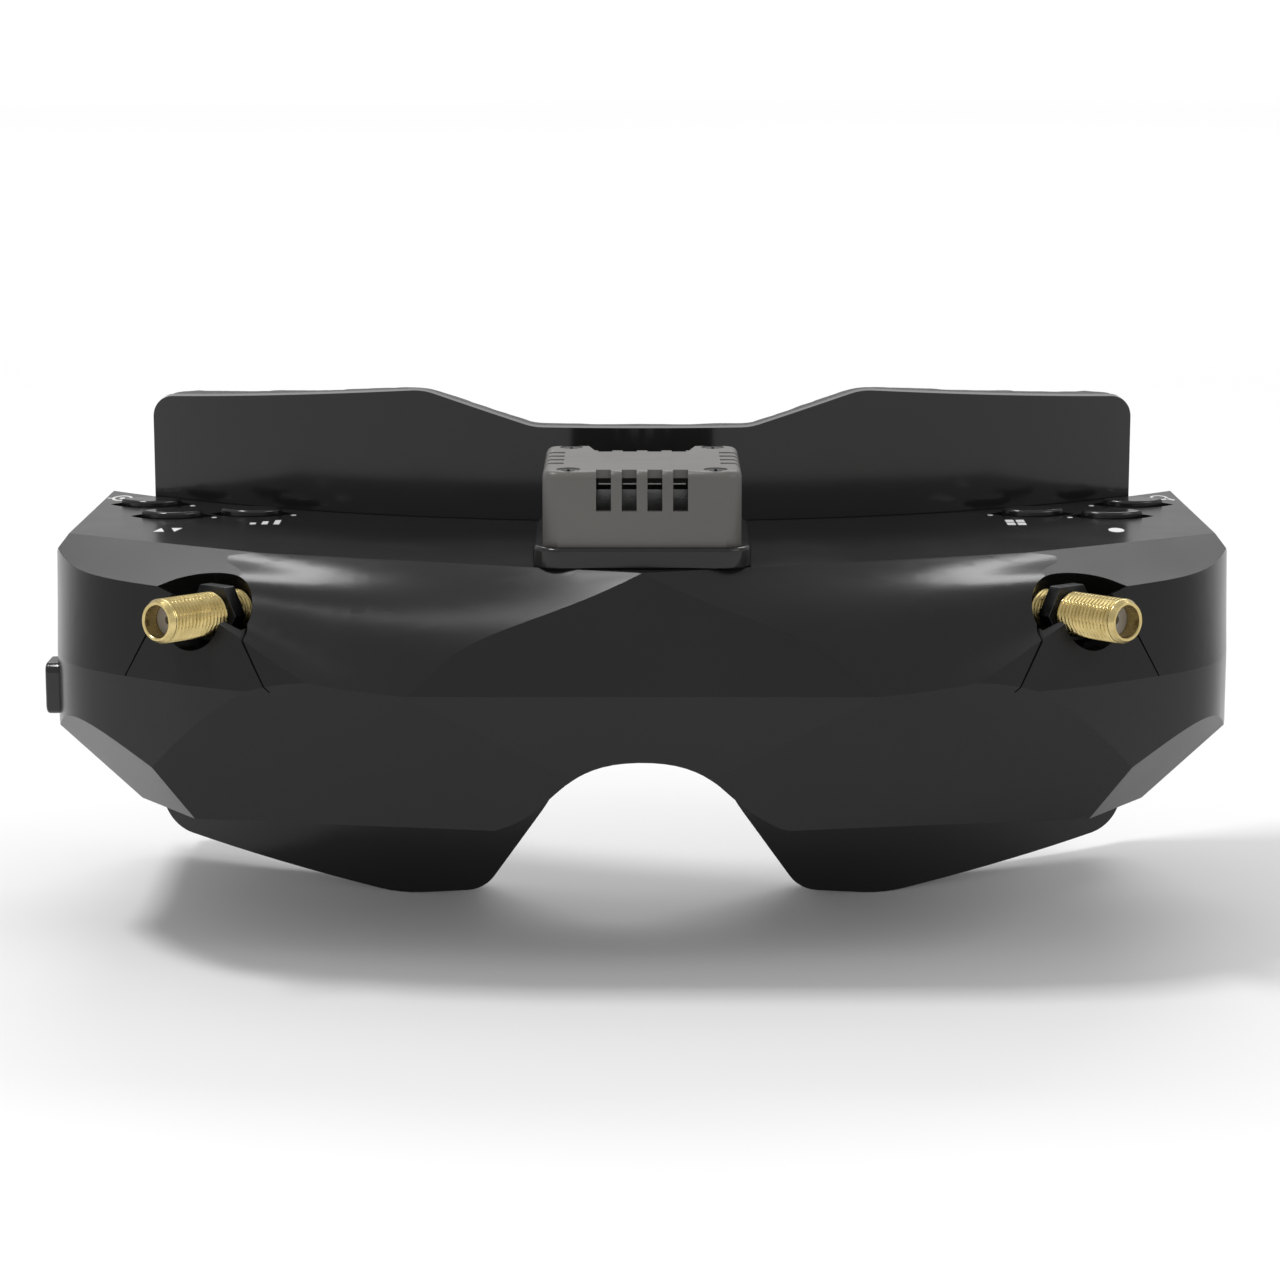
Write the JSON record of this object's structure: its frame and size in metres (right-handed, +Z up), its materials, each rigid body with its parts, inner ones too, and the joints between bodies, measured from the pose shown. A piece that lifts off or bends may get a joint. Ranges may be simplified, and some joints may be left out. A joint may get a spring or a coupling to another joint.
{
  "type": "fpv goggles",
  "caption": "Faceted black video goggles for model pilots: sliding eyepieces, foam-backed curved faceplate, plug-in receiver module on top, angled antenna jacks and top keys.",
  "frame": {"origin": "under the middle of the goggles, level with the faceplate's lowest points", "axes": "+X towards the wearer's left, -Y towards the front, +Z up"},
  "size_m": [0.1756, 0.092, 0.0794],
  "materials": {
    "shell_plastic": "moulded black housing, glossy with a faint grain",
    "plate_plastic": "polished black faceplate",
    "foam": "black open-cell foam with a fabric skin",
    "module_plastic": "satin dark grey receiver case",
    "key_plastic": "black key caps",
    "brass": "gold-plated connector",
    "black_nut": "blackened steel nut",
    "ptfe": "white insulator",
    "lens": "coated eyepiece lens",
    "barrel_plastic": "black optic barrel",
    "display": "dark display panel",
    "board": "green circuit board",
    "chip": "black chip package",
    "steel": "plain steel",
    "screw": "blackened screw",
    "shield": "tinned shield can"
  },
  "bodies": {
    "housing": {"upper_shell": "shell_plastic", "lower_shell": "shell_plastic", "faceplate": "plate_plastic", "face_foam": "foam", "rear_panel": "shell_plastic", "module_collar": "shell_plastic", "bay_board": "board", "bay_socket": "barrel_plastic", "antenna_jack_left": "brass", "antenna_jack_right": "brass", "jack_nut_left": "black_nut", "jack_nut_right": "black_nut", "jack_insulator_left": "ptfe", "jack_insulator_right": "ptfe", "jack_contact_left": "brass", "jack_contact_right": "brass", "key_board_left": "board", "key_board_right": "board", "key_switches": "chip", "power_switch": "chip", "main_board": "board", "main_chips": "chip", "ipd_rails": "steel", "fan_frame": "barrel_plastic", "dc_jack": "barrel_plastic", "av_jack": "barrel_plastic", "hdmi_socket": "steel", "card_socket": "steel", "strap_bars": "steel", "shell_screws": "screw", "plate_screws": "screw"},
    "optics_left": {"optic_barrel_left": "barrel_plastic", "display_panel_left": "display", "eyepiece_lens_left": "lens", "lens_ring_left": "barrel_plastic", "ipd_knob_left": "key_plastic"},
    "optics_right": {"optic_barrel_right": "barrel_plastic", "display_panel_right": "display", "eyepiece_lens_right": "lens", "lens_ring_right": "barrel_plastic", "ipd_knob_right": "key_plastic"},
    "receiver_module": {"module_cover": "module_plastic", "module_tray": "module_plastic", "module_board": "board", "module_shield": "shield", "module_header": "barrel_plastic", "module_screws": "screw"},
    "fan": {"fan_rotor": "barrel_plastic"},
    "track_button_cap": {"track_button": "key_plastic"},
    "channel_rocker_cap": {"channel_rocker": "key_plastic"},
    "band_rocker_cap": {"band_rocker": "key_plastic"},
    "search_button_cap": {"search_button": "key_plastic"},
    "record_button_cap": {"record_button": "key_plastic"},
    "mode_rocker_cap": {"mode_rocker": "key_plastic"},
    "power_cap": {"power_button": "key_plastic"}
  },
  "joints": [
    {"name": "ipd_slide_left", "type": "slide", "parent": "housing", "child": "optics_left", "axis": [1, 0, 0], "range_m": [-0.0025, 0.0025]},
    {"name": "ipd_slide_right", "type": "slide", "parent": "housing", "child": "optics_right", "axis": [-1, 0, 0], "range_m": [-0.0025, 0.0025]},
    {"name": "module_slide", "type": "slide", "parent": "housing", "child": "receiver_module", "axis": [0, 0, 1], "range_m": [0, 0.025]},
    {"name": "fan_spin", "type": "hinge", "parent": "housing", "child": "fan", "pos_m": [0, 0.00197, 0.04628], "axis": [0, 1, 0], "continuous": true},
    {"name": "track_press", "type": "slide", "parent": "housing", "child": "track_button_cap", "axis": [0, 0, -1], "range_m": [0, 0.0004], "stiffness_N_per_m": 500},
    {"name": "channel_tilt", "type": "hinge", "parent": "housing", "child": "channel_rocker_cap", "pos_m": [-0.0723, 0.01237, 0.05668], "axis": [0, 1, 0], "range_deg": [-3.5, 3.5], "stiffness_Nm_per_rad": 0.02},
    {"name": "band_tilt", "type": "hinge", "parent": "housing", "child": "band_rocker_cap", "pos_m": [-0.0603, 0.01457, 0.05668], "axis": [0, 1, 0], "range_deg": [-3.5, 3.5], "stiffness_Nm_per_rad": 0.02},
    {"name": "search_press", "type": "slide", "parent": "housing", "child": "search_button_cap", "axis": [0, 0, -1], "range_m": [0, 0.0004], "stiffness_N_per_m": 500},
    {"name": "record_press", "type": "slide", "parent": "housing", "child": "record_button_cap", "axis": [0, 0, -1], "range_m": [0, 0.0004], "stiffness_N_per_m": 500},
    {"name": "mode_tilt", "type": "hinge", "parent": "housing", "child": "mode_rocker_cap", "pos_m": [0.0603, 0.01457, 0.05668], "axis": [0, 1, 0], "range_deg": [-3.5, 3.5], "stiffness_Nm_per_rad": 0.02},
    {"name": "power_press", "type": "slide", "parent": "housing", "child": "power_cap", "axis": [1, 0, 0], "range_m": [0, 0.0006], "stiffness_N_per_m": 500}
  ]
}
